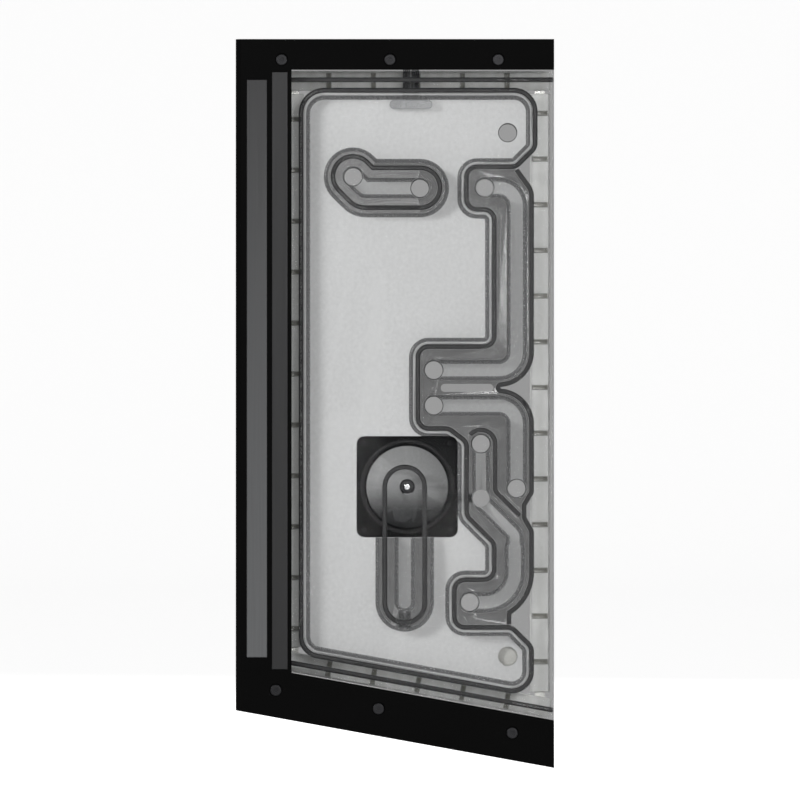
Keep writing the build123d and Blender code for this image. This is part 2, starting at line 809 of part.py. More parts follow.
# Pin header on the top board, for the lamps' supply
with BuildPart() as light_header:
    with BuildSketch(level(body_back)):
        with Locations((header_x, top_band_z)):
            Rectangle(header_width, header_thickness)
    extrude(amount=-header_thickness)
    with BuildSketch(level(body_back - header_thickness)):
        with Locations((header_x, top_band_z)):
            with GridLocations(pin_pitch, 0, pin_count, 1):
                Rectangle(pin_width, pin_width)
    extrude(amount=-pin_reach)
light_header.part.label = "light_header"
export_step(light_header.part, "parts/light_header.step")

# Baffle under the fill port: it keeps poured coolant from splashing
baffle_z = reservoir_seal_top_z - seal_to_pocket - baffle_drop - baffle_height / 2
with BuildPart() as fill_baffle:
    with BuildSketch(level(pocket_floor)):
        with Locations((fill_x, baffle_z)):
            SlotOverall(baffle_width, baffle_height)
    extrude(amount=baffle_rise)
fill_baffle.part.label = "fill_baffle"
export_step(fill_baffle.part, "parts/fill_baffle.step")

# Stop plugs: a round head with a hexagon socket and a ring groove, on a threaded spigot
fill_mouth = Plane(origin=(fill_x, -fill_height, clear_top_z), x_dir=(1, 0, 0), z_dir=(0, 0, 1))
drain_x, drain_z = reservoir_drain
drain_mouth = Plane(origin=(drain_x, -body_back, drain_z), x_dir=(1, 0, 0), z_dir=(0, 1, 0))
for name, mouth, head_radius, head_height in (
    ("fill_plug", fill_mouth, fill_head_radius, frame_wall),
    ("drain_plug", drain_mouth, drain_head_radius, drain_head_height),
):
    with BuildPart() as plug:
        with BuildSketch(mouth):
            Circle(head_radius)
        extrude(amount=head_height)
        chamfer(plug.faces().sort_by(Axis(mouth.origin, mouth.z_dir))[-1].edges(), plug_chamfer)
        with BuildSketch(mouth):
            Circle(port_radius - plug_thread_gap)
        extrude(amount=-plug_thread_length)
        with BuildSketch(mouth):
            Circle(plug_ring_radius + plug_ring_width / 2)
            Circle(plug_ring_radius - plug_ring_width / 2, mode=Mode.SUBTRACT)
        extrude(amount=plug_ring_depth, mode=Mode.SUBTRACT)
        with BuildSketch(mouth.offset(head_height)):
            RegularPolygon(plug_socket_width / 2, 6, major_radius=False)
        extrude(amount=-plug_socket_depth, mode=Mode.SUBTRACT)
    plug.part.label = name
    export_step(plug.part, f"parts/{name}.step")

    with BuildPart() as ring:
        with BuildSketch(mouth):
            Circle(plug_ring_radius + plug_cord_width / 2)
            Circle(plug_ring_radius - plug_cord_width / 2, mode=Mode.SUBTRACT)
        extrude(amount=plug_ring_depth)
    ring.part.label = f"{name}_ring"
    export_step(ring.part, f"parts/{name}_ring.step")

# Pump housing: square flange with a round motor can behind it
flange_back = body_back - pump_flange_thickness
with BuildPart() as pump_housing:
    with BuildSketch(pump_plane(flange_back)):
        RectangleRounded(pump_square, pump_square, pump_corner_radius)
    extrude(amount=pump_flange_thickness)
    with BuildSketch(pump_plane(flange_back)):
        Circle(pump_can_radius)
    extrude(amount=-pump_can_length)
    fillet(pump_housing.faces().sort_by(Axis.Y)[-1].edges(), pump_can_fillet)

    # Cooling ribs along the can
    with BuildSketch(pump_plane(flange_back)):
        with PolarLocations(pump_can_radius, pump_rib_count, start_angle=180 / pump_rib_count):
            Rectangle(2 * pump_rib_height, pump_rib_width)
    extrude(amount=-pump_rib_length)

    # Screw holes in the corners of the flange
    with BuildSketch(pump_plane(flange_back)):
        with Locations(*pump_corners):
            Circle(pump_screw_radius + pump_screw_gap)
    extrude(amount=pump_flange_thickness, mode=Mode.SUBTRACT)
    with BuildSketch(pump_plane(flange_back)):
        with Locations(*pump_corners):
            Circle(pump_screw_head_radius + screw_head_gap)
    extrude(amount=pump_screw_head_height, mode=Mode.SUBTRACT)

    # Well for the rotor and seat for its pin
    with BuildSketch(pump_plane(body_back)):
        Circle(rotor_well_radius)
    extrude(amount=-rotor_well_depth, mode=Mode.SUBTRACT)
    with BuildSketch(pump_plane(body_back - rotor_well_depth)):
        Circle(pin_radius)
    extrude(amount=-pin_seat_depth, mode=Mode.SUBTRACT)

    # Seat for the power socket in the side of the can
    with BuildSketch(socket_plane.offset(-socket_seat_depth)):
        Rectangle(socket_width + 2 * socket_gap, socket_height + 2 * socket_gap)
    extrude(amount=socket_length, mode=Mode.SUBTRACT)
pump_housing.part.label = "pump_housing"
export_step(pump_housing.part, "parts/pump_housing.step")

# Power socket of the pump, open at its outer end
with BuildPart() as pump_socket:
    with BuildSketch(socket_plane.offset(-socket_seat_depth)):
        Rectangle(socket_width, socket_height)
    extrude(amount=socket_length)
    with BuildSketch(socket_plane.offset(socket_length - socket_seat_depth)):
        Rectangle(socket_width - 2 * socket_wall, socket_height - 2 * socket_wall)
    extrude(amount=socket_wall - socket_length, mode=Mode.SUBTRACT)
pump_socket.part.label = "pump_socket"
export_step(pump_socket.part, "parts/pump_socket.step")

# Seal ring between the pump and the body
with BuildPart() as pump_seal:
    with BuildSketch(pump_plane(body_back)):
        Circle(pump_seal_radius + pump_cord_width / 2)
        Circle(pump_seal_radius - pump_cord_width / 2, mode=Mode.SUBTRACT)
    extrude(amount=pump_seal_depth)
pump_seal.part.label = "pump_seal"
export_step(pump_seal.part, "parts/pump_seal.step")

# Four screws that hold the pump to the body
screw_seat = flange_back + pump_screw_head_height
with BuildPart() as pump_screws:
    with BuildSketch(pump_plane(flange_back)):
        with Locations(*pump_corners):
            Circle(pump_screw_head_radius)
    extrude(amount=pump_screw_head_height)
    with BuildSketch(pump_plane(screw_seat)):
        with Locations(*pump_corners):
            Circle(pump_screw_radius)
    extrude(amount=body_back + pump_screw_reach - screw_seat)
    with BuildSketch(pump_plane(flange_back)):
        with Locations(*pump_corners):
            RegularPolygon(screw_socket_width / 2, 6, major_radius=False)
    extrude(amount=screw_socket_depth, mode=Mode.SUBTRACT)
pump_screws.part.label = "pump_screws"
export_step(pump_screws.part, "parts/pump_screws.step")

# Pin that the rotor turns on, and the polished cap on its tip
rotor_foot = body_back - rotor_well_depth + rotor_floor_gap
disc_foot = body_back + impeller_disc_gap
disc_front = disc_foot + impeller_disc_thickness
hub_front = disc_front + impeller_hub_height
cap_foot = hub_front + pin_cap_gap
pin_tip = cap_foot + pin_cap_height / 2
with BuildPart() as impeller_pin:
    with BuildSketch(pump_plane(body_back - rotor_well_depth - pin_seat_depth)):
        Circle(pin_radius)
    extrude(amount=pin_tip - (body_back - rotor_well_depth - pin_seat_depth))
impeller_pin.part.label = "impeller_pin"
export_step(impeller_pin.part, "parts/impeller_pin.step")

with BuildPart() as pin_cap:
    with BuildSketch(pump_plane(cap_foot)):
        Circle(pin_cap_radius)
    extrude(amount=pin_cap_height)
    fillet(pin_cap.faces().sort_by(Axis.Y)[0].edges(), pin_cap_fillet)
    with BuildSketch(pump_plane(cap_foot)):
        Circle(pin_radius)
    extrude(amount=pin_tip - cap_foot, mode=Mode.SUBTRACT)
pin_cap.part.label = "pin_cap"
export_step(pin_cap.part, "parts/pin_cap.step")

# Impeller: a disc with swept vanes and a hub in front, and a stem for the magnet behind
with BuildPart() as impeller:
    with BuildSketch(pump_plane(disc_foot)):
        Circle(impeller_radius)
    extrude(amount=impeller_disc_thickness)
    with BuildSketch(pump_plane(disc_front)):
        vane_angle = radians(-impeller_vane_sweep)
        vane_reach = impeller_radius - impeller_vane_width / 2
        vane_tip = (vane_reach * cos(vane_angle), vane_reach * sin(vane_angle))
        with BuildLine(mode=Mode.PRIVATE) as vane:
            RadiusArc((0, 0), vane_tip, impeller_vane_curve)
        with BuildSketch(mode=Mode.PRIVATE) as vane_area:
            trace(vane.line, line_width=impeller_vane_width)
            Circle(impeller_eye_radius, mode=Mode.SUBTRACT)
        with PolarLocations(0, impeller_vane_count):
            add(vane_area.sketch)
    extrude(amount=impeller_vane_height)
    with BuildSketch(pump_plane(disc_front)):
        Circle(impeller_hub_radius)
    extrude(amount=impeller_hub_height)
    with BuildSketch(pump_plane(rotor_foot)):
        Circle(rotor_stem_radius)
    extrude(amount=disc_foot - rotor_foot)
    with BuildSketch(pump_plane(rotor_foot)):
        Circle(pin_radius + pin_running_gap)
    extrude(amount=hub_front - rotor_foot, mode=Mode.SUBTRACT)
impeller.part.label = "impeller"
export_step(impeller.part, "parts/impeller.step")

# Ring magnet on the impeller's stem
with BuildPart() as rotor_magnet:
    with BuildSketch(pump_plane(rotor_foot)):
        Circle(magnet_radius)
        Circle(rotor_stem_radius + stem_gap, mode=Mode.SUBTRACT)
    extrude(amount=magnet_length)
rotor_magnet.part.label = "rotor_magnet"
export_step(rotor_magnet.part, "parts/rotor_magnet.step")

# Six frame screws, from the front through the whole stack into the standoffs
head_seat = frame_front - screw_head_recess
screw_tip = standoff_length - standoff_screw_depth + standoff_screw_gap
with BuildPart() as frame_screws:
    with BuildSketch(level(screw_tip)):
        with Locations(*fixing_points()):
            Circle(screw_radius)
    extrude(amount=head_seat - screw_tip)
    with BuildSketch(level(head_seat)):
        with Locations(*fixing_points()):
            Circle(screw_head_radius)
    extrude(amount=screw_head_height)
    head_rims = frame_screws.faces().filter_by(Plane.XZ).group_by(Axis.Y)[0].edges()
    fillet(head_rims, screw_head_height / 3)
    with BuildSketch(level(head_seat + screw_head_height)):
        with Locations(*fixing_points()):
            RegularPolygon(screw_socket_width / 2, 6, major_radius=False)
    extrude(amount=-screw_socket_depth, mode=Mode.SUBTRACT)
frame_screws.part.label = "frame_screws"
export_step(frame_screws.part, "parts/frame_screws.step")

# Six hexagonal standoffs that hold the plate off the case
with BuildPart() as standoffs:
    with BuildSketch(level(0)):
        with Locations(*fixing_points()):
            RegularPolygon(standoff_across_flats / 2, 6, major_radius=False)
    extrude(amount=standoff_length)
    with BuildSketch(level(0)):
        with Locations(*fixing_points()):
            Circle(standoff_thread_radius)
    extrude(amount=standoff_thread_depth, mode=Mode.SUBTRACT)
    with BuildSketch(level(standoff_length)):
        with Locations(*fixing_points()):
            Circle(screw_radius + standoff_screw_gap)
    extrude(amount=-standoff_screw_depth, mode=Mode.SUBTRACT)
standoffs.part.label = "standoffs"
export_step(standoffs.part, "parts/standoffs.step")
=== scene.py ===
# Looks of the water cooling distribution plate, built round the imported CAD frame.
# Lengths in the dictionaries are in millimetres; mm turns them to metres.
import json
import math

import bpy
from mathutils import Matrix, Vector

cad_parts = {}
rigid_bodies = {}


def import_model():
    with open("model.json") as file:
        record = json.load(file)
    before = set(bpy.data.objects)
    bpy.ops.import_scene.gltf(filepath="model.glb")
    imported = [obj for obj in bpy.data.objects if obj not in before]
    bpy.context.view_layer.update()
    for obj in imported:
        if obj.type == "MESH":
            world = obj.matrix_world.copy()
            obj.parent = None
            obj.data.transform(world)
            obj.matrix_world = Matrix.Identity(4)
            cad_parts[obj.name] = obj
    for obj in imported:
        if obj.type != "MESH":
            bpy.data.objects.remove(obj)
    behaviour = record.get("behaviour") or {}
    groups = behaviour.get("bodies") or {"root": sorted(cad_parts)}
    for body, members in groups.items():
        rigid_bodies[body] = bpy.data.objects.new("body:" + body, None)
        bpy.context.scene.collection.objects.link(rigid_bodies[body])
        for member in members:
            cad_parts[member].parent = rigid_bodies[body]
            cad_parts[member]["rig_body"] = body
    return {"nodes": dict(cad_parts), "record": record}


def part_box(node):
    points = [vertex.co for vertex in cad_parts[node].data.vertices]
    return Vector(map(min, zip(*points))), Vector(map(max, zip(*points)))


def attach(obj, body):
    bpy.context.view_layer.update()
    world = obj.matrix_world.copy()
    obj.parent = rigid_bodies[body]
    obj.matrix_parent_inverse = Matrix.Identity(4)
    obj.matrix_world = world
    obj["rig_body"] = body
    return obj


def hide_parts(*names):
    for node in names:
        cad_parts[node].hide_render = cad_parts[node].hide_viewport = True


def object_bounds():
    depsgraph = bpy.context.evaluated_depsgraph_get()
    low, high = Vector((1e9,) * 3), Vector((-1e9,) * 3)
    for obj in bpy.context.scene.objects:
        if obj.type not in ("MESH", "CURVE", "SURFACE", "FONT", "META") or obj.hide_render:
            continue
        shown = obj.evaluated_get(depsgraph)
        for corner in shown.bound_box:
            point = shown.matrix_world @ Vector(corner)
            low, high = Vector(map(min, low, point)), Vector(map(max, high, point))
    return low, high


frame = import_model()
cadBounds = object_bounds()
nodes = frame["nodes"]
mm = 0.001
print("frame loaded:", len(nodes), "nodes")

# Levels in the clear body, as heights in front of the case; the front faces -Y
levels = {"back": 16.0, "floor": 29.0, "front": 41.0}


def toLinear(hexColour):
    # an sRGB hex value as a linear colour with full alpha
    values = [int(hexColour[start:start + 2], 16) / 255 for start in (1, 3, 5)]
    return [v / 12.92 if v <= 0.04045 else ((v + 0.055) / 1.055) ** 2.4 for v in values] + [1.0]


def addNode(tree, kind, settings=None, links=None):
    # one shader node with its settings and the sockets that feed it
    node = tree.nodes.new(kind)
    for key, value in (settings or {}).items():
        if isinstance(key, int) or key in node.inputs:
            node.inputs[key].default_value = value
        else:
            setattr(node, key, value)
    for key, socket in (links or {}).items():
        tree.links.new(socket, node.inputs[key])
    return node


def startMaterial(name):
    # an empty material, its node tree and the piece's own coordinates
    material = bpy.data.materials.new(name)
    material.use_nodes = True
    tree = material.node_tree
    tree.nodes.clear()
    place = addNode(tree, "ShaderNodeTexCoord").outputs["Object"]
    return material, tree, place


def endMaterial(tree, shader):
    addNode(tree, "ShaderNodeOutputMaterial", {}, {"Surface": shader.outputs[0]})


def cellScale(sizes):
    # the Mapping scale at which a pattern has cells of these sizes, in millimetres
    return [1 / (size * mm) for size in sizes]


# Most values of a noise lie in this range, which is spread over the range that a finish asks for
noiseRange = {"From Min": 0.3, "From Max": 0.7}
noiseDetail = 3.0

# Cast acrylic: clear where it is polished, so that the painted shade of the backdrop seen through the plate
# shows in it, and white where a cutter has frosted it. The milled floors are polished again over the pump,
# so that it shows through. A mark is the size of the finish's cells in millimetres; the real steps of the
# cutter and the saw are about 0.3 mm and are drawn at 0.8 to 4 mm, so that they show.
acrylicLooks = {
    # both faces of the sheet as cast: water-clear, with a faint haze
    "castAcrylicPolished": {"dark": "#3c3e40", "pale": "#505254", "alpha": (0.025, 0.04),
                            "roughness": (0.03, 0.06), "mark": (60.0, 60.0, 60.0), "depth": 0.0},
    # reservoir floor under a flat cutter: frosted, almost white
    "castAcrylicMilledFloor": {"dark": "#c9caca", "pale": "#d5d6d6", "alpha": (0.84, 0.90),
                               "roughness": (0.42, 0.52), "mark": (2.2, 2.2, 2.2), "depth": 0.02,
                               "window": ["pump"]},
    # channel floors under a smaller cutter: frosted light grey, painted darker than the reservoir floor for
    # the shade of the channel walls
    "castAcrylicChannelFloor": {"dark": "#9fa0a0", "pale": "#adaeae", "alpha": (0.80, 0.86),
                                "roughness": (0.42, 0.52), "mark": (2.2, 2.2, 2.2), "depth": 0.02,
                                "window": ["pump"]},
    # land between a seal and its channel: smooth and half clear, with a dark grey of painted shade; the
    # window between the channels leaves it clear
    "castAcrylicSealLand": {"dark": "#222324", "pale": "#2e2f30", "alpha": (0.58, 0.66),
                            "roughness": (0.05, 0.09), "mark": (14.0, 14.0, 14.0), "depth": 0.0,
                            "window": ["pump", "between channels"]},
    # side of the cutter: grey, with marks along its depth
    "castAcrylicMilledWall": {"dark": "#5c5d5f", "pale": "#6e6f71", "alpha": (0.52, 0.64),
                              "roughness": (0.30, 0.42), "mark": (1.2, 3.0, 1.2), "depth": 0.01,
                              "window": ["pump"]},
    # rounded foot of a wall, from the cutter's corner: a dark rim of painted shade round every pocket
    "castAcrylicCutterFoot": {"dark": "#3a3b3d", "pale": "#4c4d4f", "alpha": (0.72, 0.82),
                              "roughness": (0.30, 0.40), "mark": (1.6, 1.6, 1.6), "depth": 0.01,
                              "window": ["pump"]},
    # turned roof over the impeller: milky, with painted shade that darkens it towards its foot
    "castAcrylicVoluteRoof": {"dark": "#9a9b9b", "pale": "#aaabab", "alpha": (0.70, 0.80),
                              "roughness": (0.40, 0.50), "mark": (1.4, 1.4, 1.4), "depth": 0.02,
                              "paintedShadingRamp": (-256.0, -280.0), "foot": "#242526"},
    # outer edges as sawn: whitish, with marks across the thickness
    "castAcrylicSawnEdge": {"dark": "#a4a6a8", "pale": "#b8babc", "alpha": (0.30, 0.42),
                            "roughness": (0.30, 0.42), "mark": (0.8, 4.0, 0.8), "depth": 0.01},
    # back of the block as cast: clear, with a faint grey
    "castAcrylicBack": {"dark": "#38393a", "pale": "#464748", "alpha": (0.03, 0.05),
                        "roughness": (0.05, 0.09), "mark": (40.0, 40.0, 40.0), "depth": 0.0},
}

# The pump turns about this pin, whose middle is given as X and Z
pinLow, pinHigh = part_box("impeller_pin")
pumpMiddle = [(pinLow[axis] + pinHigh[axis]) / 2 / mm for axis in (0, 2)]
# Polished windows: the middle as X and Z, half the width and height, the corner radius
windows = {
    "pump": {"middle": pumpMiddle, "half": (31.0, 31.0), "corner": 5.0},
    "between channels": {"middle": (47.0, -200.0), "half": (16.0, 2.4), "corner": 2.3},
}
windowFinish = {"colour": "#101011", "alpha": 0.03, "roughness": 0.06}


def outsideWindow(tree, place, name):
    # 0 inside the rounded window and 1 outside it
    window = windows[name]
    middleX, middleZ = window["middle"]
    innerX, innerZ = [(half - window["corner"]) * mm for half in window["half"]]
    centred = addNode(tree, "ShaderNodeMapping",
                      {"Location": (-middleX * mm, 0, -middleZ * mm), "Scale": (1, 0, 1)}, {"Vector": place})
    folded = addNode(tree, "ShaderNodeVectorMath", {"operation": "ABSOLUTE"}, {0: centred.outputs[0]})
    past = addNode(tree, "ShaderNodeVectorMath", {"operation": "SUBTRACT", 1: (innerX, 0, innerZ)},
                   {0: folded.outputs[0]})
    clipped = addNode(tree, "ShaderNodeVectorMath", {"operation": "MAXIMUM", 1: (0, 0, 0)},
                      {0: past.outputs[0]})
    length = addNode(tree, "ShaderNodeVectorMath", {"operation": "LENGTH"}, {0: clipped.outputs[0]})
    return addNode(tree, "ShaderNodeMath", {"operation": "GREATER_THAN", 1: window["corner"] * mm},
                   {0: length.outputs["Value"]}).outputs[0]


def makeAcrylic(name):
    look = acrylicLooks[name]
    material, tree, place = startMaterial(name)
    cells = addNode(tree, "ShaderNodeMapping", {"Scale": cellScale(look["mark"])}, {"Vector": place})
    cloud = addNode(tree, "ShaderNodeTexNoise", {"Scale": 1.0, "Detail": noiseDetail},
                    {"Vector": cells.outputs[0]}).outputs["Fac"]
    alpha, roughness = [
        addNode(tree, "ShaderNodeMapRange", {**noiseRange, "To Min": low, "To Max": high},
                {"Value": cloud}).outputs[0]
        for low, high in (look["alpha"], look["roughness"])]
    colour = addNode(tree, "ShaderNodeMix", {"data_type": "RGBA", 6: toLinear(look["dark"]),
                                             7: toLinear(look["pale"])}, {0: cloud}).outputs[2]
    if "paintedShadingRamp" in look:
        # painted shade: the foot of the volute's roof is darkened for the shade of the pump
        top, foot = look["paintedShadingRamp"]
        height = addNode(tree, "ShaderNodeSeparateXYZ", {}, {0: place}).outputs["Z"]
        shade = addNode(tree, "ShaderNodeMapRange",
                        {"interpolation_type": "SMOOTHSTEP", "From Min": top * mm, "From Max": foot * mm},
                        {"Value": height}).outputs[0]
        colour = addNode(tree, "ShaderNodeMix", {"data_type": "RGBA", 7: toLinear(look["foot"])},
                         {0: shade, 6: colour}).outputs[2]
    for window in look.get("window", []):
        outside = outsideWindow(tree, place, window)
        alpha = addNode(tree, "ShaderNodeMix", {2: windowFinish["alpha"]},
                        {0: outside, 3: alpha}).outputs[0]
        roughness = addNode(tree, "ShaderNodeMix", {2: windowFinish["roughness"]},
                            {0: outside, 3: roughness}).outputs[0]
        colour = addNode(tree, "ShaderNodeMix", {"data_type": "RGBA", 6: toLinear(windowFinish["colour"])},
                         {0: outside, 7: colour}).outputs[2]
    shader = addNode(tree, "ShaderNodeBsdfPrincipled", {"IOR": 1.49},
                     {"Base Color": colour, "Alpha": alpha, "Roughness": roughness})
    if look["depth"]:
        bump = addNode(tree, "ShaderNodeBump", {"Strength": 1.0, "Distance": look["depth"] * mm},
                       {"Height": cloud})
        tree.links.new(bump.outputs[0], shader.inputs["Normal"])
    endMaterial(tree, shader)
    return material


# Plain solid finishes: the colour wanders between two tones in cells of a size in millimetres, and the
# same pattern drives the roughness and a shallow bump. The real grain of blasting, moulding and
# grinding is under 0.2 mm and is drawn 0.6 to 2.5 mm wide, so that it shows.
solidLooks = {
    # aluminium, bead-blasted and black anodised: deep black with a faint sparkle
    "blackAnodisedAluminium": {"dark": "#020202", "pale": "#040404", "roughness": (0.50, 0.60),
                               "metallic": 0.0, "gloss": 0.03, "mark": (0.9, 0.9, 0.9), "depth": 0.03},
    # nitrile rubber cord, extruded: dull black with a soft sheen
    "nitrileCord": {"dark": "#1a1a1b", "pale": "#252526", "roughness": (0.48, 0.60), "metallic": 0.0,
                    "gloss": 0.4, "mark": (2.5, 2.5, 2.5), "depth": 0.02},
    # glass-filled nylon, moulded black: an even, slightly grainy skin
    "mouldedBlackNylon": {"dark": "#050506", "pale": "#0b0b0c", "roughness": (0.40, 0.52), "metallic": 0.0,
                          "gloss": 0.08, "mark": (0.8, 0.8, 0.8), "depth": 0.03},
    # natural nylon, moulded: warm off-white
    "mouldedNaturalNylon": {"dark": "#b9b6aa", "pale": "#cbc8bd", "roughness": (0.40, 0.50),
                            "metallic": 0.0, "gloss": 0.45, "mark": (1.0, 1.0, 1.0), "depth": 0.02},
    # polyphenylene impeller, moulded: even light grey with a soft sheen
    "mouldedGreyPolyphenylene": {"dark": "#a6a7a9", "pale": "#b6b7b9", "roughness": (0.36, 0.46),
                                 "metallic": 0.0, "gloss": 0.5, "mark": (1.4, 1.4, 1.4), "depth": 0.02},
    # steel screws, blackened: dark with a worn sheen
    "blackenedSteel": {"dark": "#121213", "pale": "#1e1e20", "roughness": (0.30, 0.42), "metallic": 0.8,
                       "gloss": 0.5, "mark": (0.8, 0.8, 0.8), "depth": 0.01},
    # steel pin and its cap, ground and polished: bright, almost a mirror
    "groundSteel": {"dark": "#a0a1a2", "pale": "#c2c3c4", "roughness": (0.14, 0.22), "metallic": 1.0,
                    "gloss": 0.5, "mark": (0.6, 0.6, 0.6), "depth": 0.004},
    # brass plugs, plated black: near-black with a metal shine
    "blackPlatedBrass": {"dark": "#101011", "pale": "#1a1a1b", "roughness": (0.24, 0.34), "metallic": 0.6,
                         "gloss": 0.5, "mark": (1.2, 1.2, 1.2), "depth": 0.008},
    # acetal plug, turned: milky white and waxy
    "turnedAcetal": {"dark": "#b4b4af", "pale": "#c2c2bd", "roughness": (0.34, 0.44), "metallic": 0.0,
                     "gloss": 0.4, "mark": (1.6, 1.6, 1.6), "depth": 0.01},
    # silicone ring, moulded: pale grey and dull
    "greySilicone": {"dark": "#a9a9a6", "pale": "#b9b9b6", "roughness": (0.40, 0.50), "metallic": 0.0,
                     "gloss": 0.4, "mark": (1.6, 1.6, 1.6), "depth": 0.01},
    # impeller hub, moulded polyphenylene: dark grey with a soft sheen
    "mouldedDarkPolyphenylene": {"dark": "#2c2c2e", "pale": "#38383a", "roughness": (0.36, 0.46),
                                 "metallic": 0.0, "gloss": 0.4, "mark": (1.4, 1.4, 1.4), "depth": 0.02},
    # ceramic housing of a lamp, pressed and fired: chalky light grey
    "pressedCeramic": {"dark": "#8e8e8a", "pale": "#9c9c98", "roughness": (0.40, 0.50), "metallic": 0.0,
                       "gloss": 0.4, "mark": (0.9, 0.9, 0.9), "depth": 0.01},
    # ferrite ring, sintered: dark grey and slightly rough
    "sinteredFerrite": {"dark": "#222224", "pale": "#303033", "roughness": (0.50, 0.64), "metallic": 0.2,
                        "gloss": 0.4, "mark": (0.7, 0.7, 0.7), "depth": 0.03},
    # copper links and pins, tinned: bright, slightly cloudy silver
    "tinnedCopper": {"dark": "#9b9b98", "pale": "#b8b8b4", "roughness": (0.26, 0.38), "metallic": 1.0,
                     "gloss": 0.5, "mark": (0.8, 0.8, 0.8), "depth": 0.01},
    # silicone lens of a lamp, cast over its phosphor: yellowish grey with a wet shine
    "phosphorSilicone": {"dark": "#6a6a62", "pale": "#7c7c72", "roughness": (0.20, 0.28), "metallic": 0.0,
                         "gloss": 0.5, "mark": (0.9, 0.9, 0.9), "depth": 0.0},
}
# A solid finish also wanders slowly, in cells of this size, and has this share of the slow pattern
slowCells = (45.0, 45.0, 45.0)
slowDetail = 1.0
slowShare = 0.5


def makeSolid(name):
    look = solidLooks[name]
    material, tree, place = startMaterial(name)
    cells = addNode(tree, "ShaderNodeMapping", {"Scale": cellScale(look["mark"])}, {"Vector": place})
    grain = addNode(tree, "ShaderNodeTexNoise", {"Scale": 1.0, "Detail": noiseDetail},
                    {"Vector": cells.outputs[0]}).outputs["Fac"]
    wide = addNode(tree, "ShaderNodeMapping", {"Scale": cellScale(slowCells)}, {"Vector": place})
    slow = addNode(tree, "ShaderNodeTexNoise", {"Scale": 1.0, "Detail": slowDetail},
                   {"Vector": wide.outputs[0]}).outputs["Fac"]
    slowPart = addNode(tree, "ShaderNodeMath", {"operation": "MULTIPLY", 1: slowShare},
                       {0: slow}).outputs[0]
    both = addNode(tree, "ShaderNodeMath", {"operation": "MULTIPLY_ADD", 1: 1 - slowShare},
                   {0: grain, 2: slowPart}).outputs[0]
    tone = addNode(tree, "ShaderNodeMapRange", {**noiseRange, "To Min": 0.0, "To Max": 1.0},
                   {"Value": both}).outputs[0]
    low, high = look["roughness"]
    roughness = addNode(tree, "ShaderNodeMapRange", {**noiseRange, "To Min": low, "To Max": high},
                        {"Value": grain}).outputs[0]
    colour = addNode(tree, "ShaderNodeMix", {"data_type": "RGBA", 6: toLinear(look["dark"]),
                                             7: toLinear(look["pale"])}, {0: tone}).outputs[2]
    shader = addNode(tree, "ShaderNodeBsdfPrincipled",
                     {"Metallic": look["metallic"], "Specular IOR Level": look["gloss"]},
                     {"Base Color": colour, "Roughness": roughness})
    if look["depth"]:
        bump = addNode(tree, "ShaderNodeBump", {"Strength": 1.0, "Distance": look["depth"] * mm},
                       {"Height": grain})
        tree.links.new(bump.outputs[0], shader.inputs["Normal"])
    endMaterial(tree, shader)
    return material


# Aluminium strips, brushed along their length and anodised grey. The grain is drawn 0.9 mm wide,
# coarser than the real 0.1 mm, so that it shows at the photograph's size.
# Painted light and shade: each strip's tone runs from top to foot, the grey strip lighter and the dark strip
# darker towards the foot
stripLooks = {
    "brushedGreyAluminium": {"top": "#242425", "foot": "#505152", "streak": 0.48},
    "brushedDarkAluminium": {"top": "#19191a", "foot": "#141415", "streak": 0.36},
}
stripGrain = {"cells": (0.9, 0.9, 60.0), "detail": 4.0, "low": "#8c8c8c", "high": "#ffffff",
              "roughness": (0.34, 0.46), "depth": 0.02, "metallic": 0.55}
# Heights between which a strip's tone changes, as the photograph shows
stripReach = {"topZ": -12.0, "footZ": -364.0}


def makeBrushed(name):
    look = stripLooks[name]
    material, tree, place = startMaterial(name)
    height = addNode(tree, "ShaderNodeSeparateXYZ", {}, {0: place}).outputs["Z"]
    # painted light and shade: the tone changes with height, from the strip's top colour to its foot colour
    paintedShadingRamp = addNode(tree, "ShaderNodeMapRange",
                   {"From Min": stripReach["topZ"] * mm, "From Max": stripReach["footZ"] * mm},
                   {"Value": height}).outputs[0]
    tone = addNode(tree, "ShaderNodeMix", {"data_type": "RGBA", 6: toLinear(look["top"]),
                                           7: toLinear(look["foot"])}, {0: paintedShadingRamp}).outputs[2]
    cells = addNode(tree, "ShaderNodeMapping", {"Scale": cellScale(stripGrain["cells"])}, {"Vector": place})
    grain = addNode(tree, "ShaderNodeTexNoise", {"Scale": 1.0, "Detail": stripGrain["detail"]},
                    {"Vector": cells.outputs[0]}).outputs["Fac"]
    streaks = addNode(tree, "ShaderNodeMix", {"data_type": "RGBA", 6: toLinear(stripGrain["low"]),
                                              7: toLinear(stripGrain["high"])}, {0: grain}).outputs[2]
    colour = addNode(tree, "ShaderNodeMix",
                     {"data_type": "RGBA", "blend_type": "MULTIPLY", 0: look["streak"]},
                     {6: tone, 7: streaks}).outputs[2]
    low, high = stripGrain["roughness"]
    roughness = addNode(tree, "ShaderNodeMapRange", {**noiseRange, "To Min": low, "To Max": high},
                        {"Value": grain}).outputs[0]
    bump = addNode(tree, "ShaderNodeBump", {"Strength": 1.0, "Distance": stripGrain["depth"] * mm},
                   {"Height": grain}).outputs[0]
    shader = addNode(tree, "ShaderNodeBsdfPrincipled", {"Metallic": stripGrain["metallic"]},
                     {"Base Color": colour, "Roughness": roughness, "Normal": bump})
    endMaterial(tree, shader)
    return material


# Glass-fibre board, printed with white solder mask: bright white, with faint shadows of the copper
# tracks that run under the mask
boardLook = {"mask": "#f0f1ef", "track": "#dcddd9", "trackCells": (28.0, 28.0, 28.0),
             "grainCells": (3.0, 3.0, 3.0), "roughness": (0.35, 0.45)}


